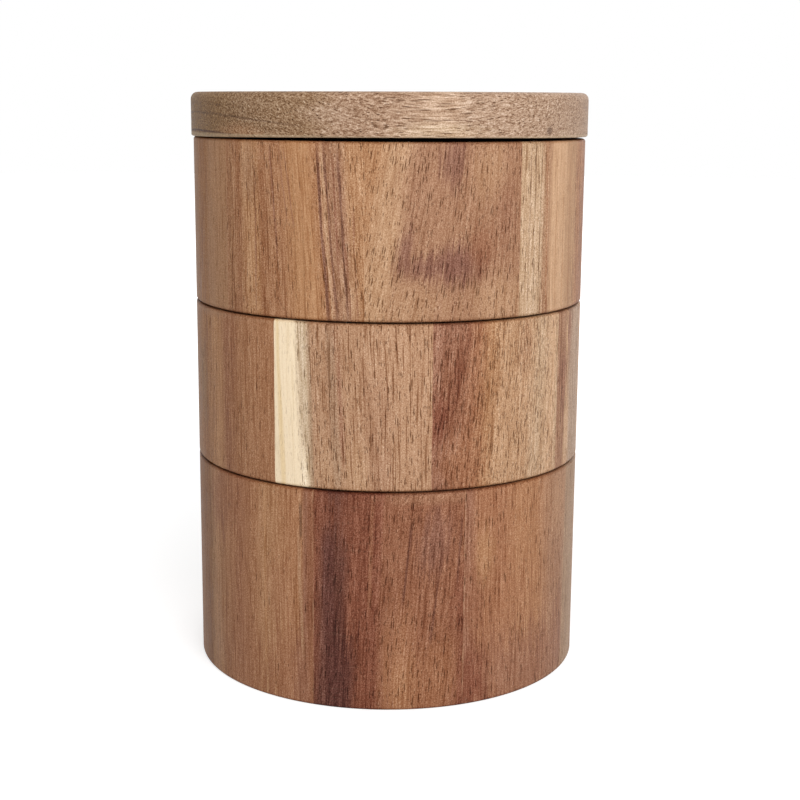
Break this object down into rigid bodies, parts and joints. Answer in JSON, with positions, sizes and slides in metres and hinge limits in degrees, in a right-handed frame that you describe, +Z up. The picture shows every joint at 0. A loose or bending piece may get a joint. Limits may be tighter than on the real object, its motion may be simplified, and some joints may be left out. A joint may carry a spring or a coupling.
{
  "type": "swivel spice box",
  "caption": "Round wooden spice box of stacked open tiers under a flat lid, all turning on one bolt at the back.",
  "frame": {"origin": "centre of the underside, on the axis of the closed box", "axes": "+Z up through the tiers to the lid, -Y to the front, +Y to the bolt at the back"},
  "size_m": [0.096, 0.096, 0.1398],
  "materials": {
    "acacia_dark": "satin oiled",
    "acacia_mid": "satin oiled",
    "acacia_light": "satin oiled",
    "acacia_lid": "satin oiled",
    "steel": "zinc plated",
    "brass": "turned",
    "nickel": "nickel plated"
  },
  "bodies": {
    "bottom_tier": {"bottom_stave_1": "acacia_dark", "bottom_stave_2": "acacia_mid", "bottom_stave_3": "acacia_dark", "bottom_stave_4": "acacia_mid", "bottom_stave_5": "acacia_dark", "bottom_stave_6": "acacia_mid", "bottom_stave_7": "acacia_dark", "bottom_stave_8": "acacia_mid", "bottom_floor": "acacia_mid", "bottom_rim_magnet": "nickel", "bottom_gap_washer": "steel"},
    "middle_tier": {"middle_stave_1": "acacia_mid", "middle_stave_2": "acacia_light", "middle_stave_3": "acacia_mid", "middle_stave_4": "acacia_light", "middle_stave_5": "acacia_mid", "middle_stave_6": "acacia_light", "middle_stave_7": "acacia_mid", "middle_stave_8": "acacia_light", "middle_floor": "acacia_mid", "middle_rim_magnet": "nickel", "middle_base_magnet": "nickel", "middle_gap_washer": "steel"},
    "top_tier": {"top_stave_1": "acacia_light", "top_stave_2": "acacia_mid", "top_stave_3": "acacia_light", "top_stave_4": "acacia_mid", "top_stave_5": "acacia_light", "top_stave_6": "acacia_mid", "top_stave_7": "acacia_light", "top_stave_8": "acacia_mid", "top_floor": "acacia_mid", "top_rim_magnet": "nickel", "top_base_magnet": "nickel", "top_gap_washer": "steel"},
    "lid": {"lid_front_board": "acacia_lid", "lid_rear_board": "acacia_lid", "lid_magnet": "nickel", "lid_insert": "brass", "pivot_bolt": "steel", "bolt_washer": "steel"}
  },
  "joints": [
    {"name": "middle_swivel", "type": "hinge", "parent": "bottom_tier", "child": "middle_tier", "pos_m": [0, 0.0415, 0.0517], "axis": [0, 0, 1], "continuous": true},
    {"name": "top_swivel", "type": "hinge", "parent": "middle_tier", "child": "top_tier", "pos_m": [0, 0.0415, 0.0899], "axis": [0, 0, 1], "continuous": true},
    {"name": "lid_swivel", "type": "hinge", "parent": "top_tier", "child": "lid", "pos_m": [0, 0.0415, 0.1294], "axis": [0, 0, 1], "continuous": true}
  ]
}
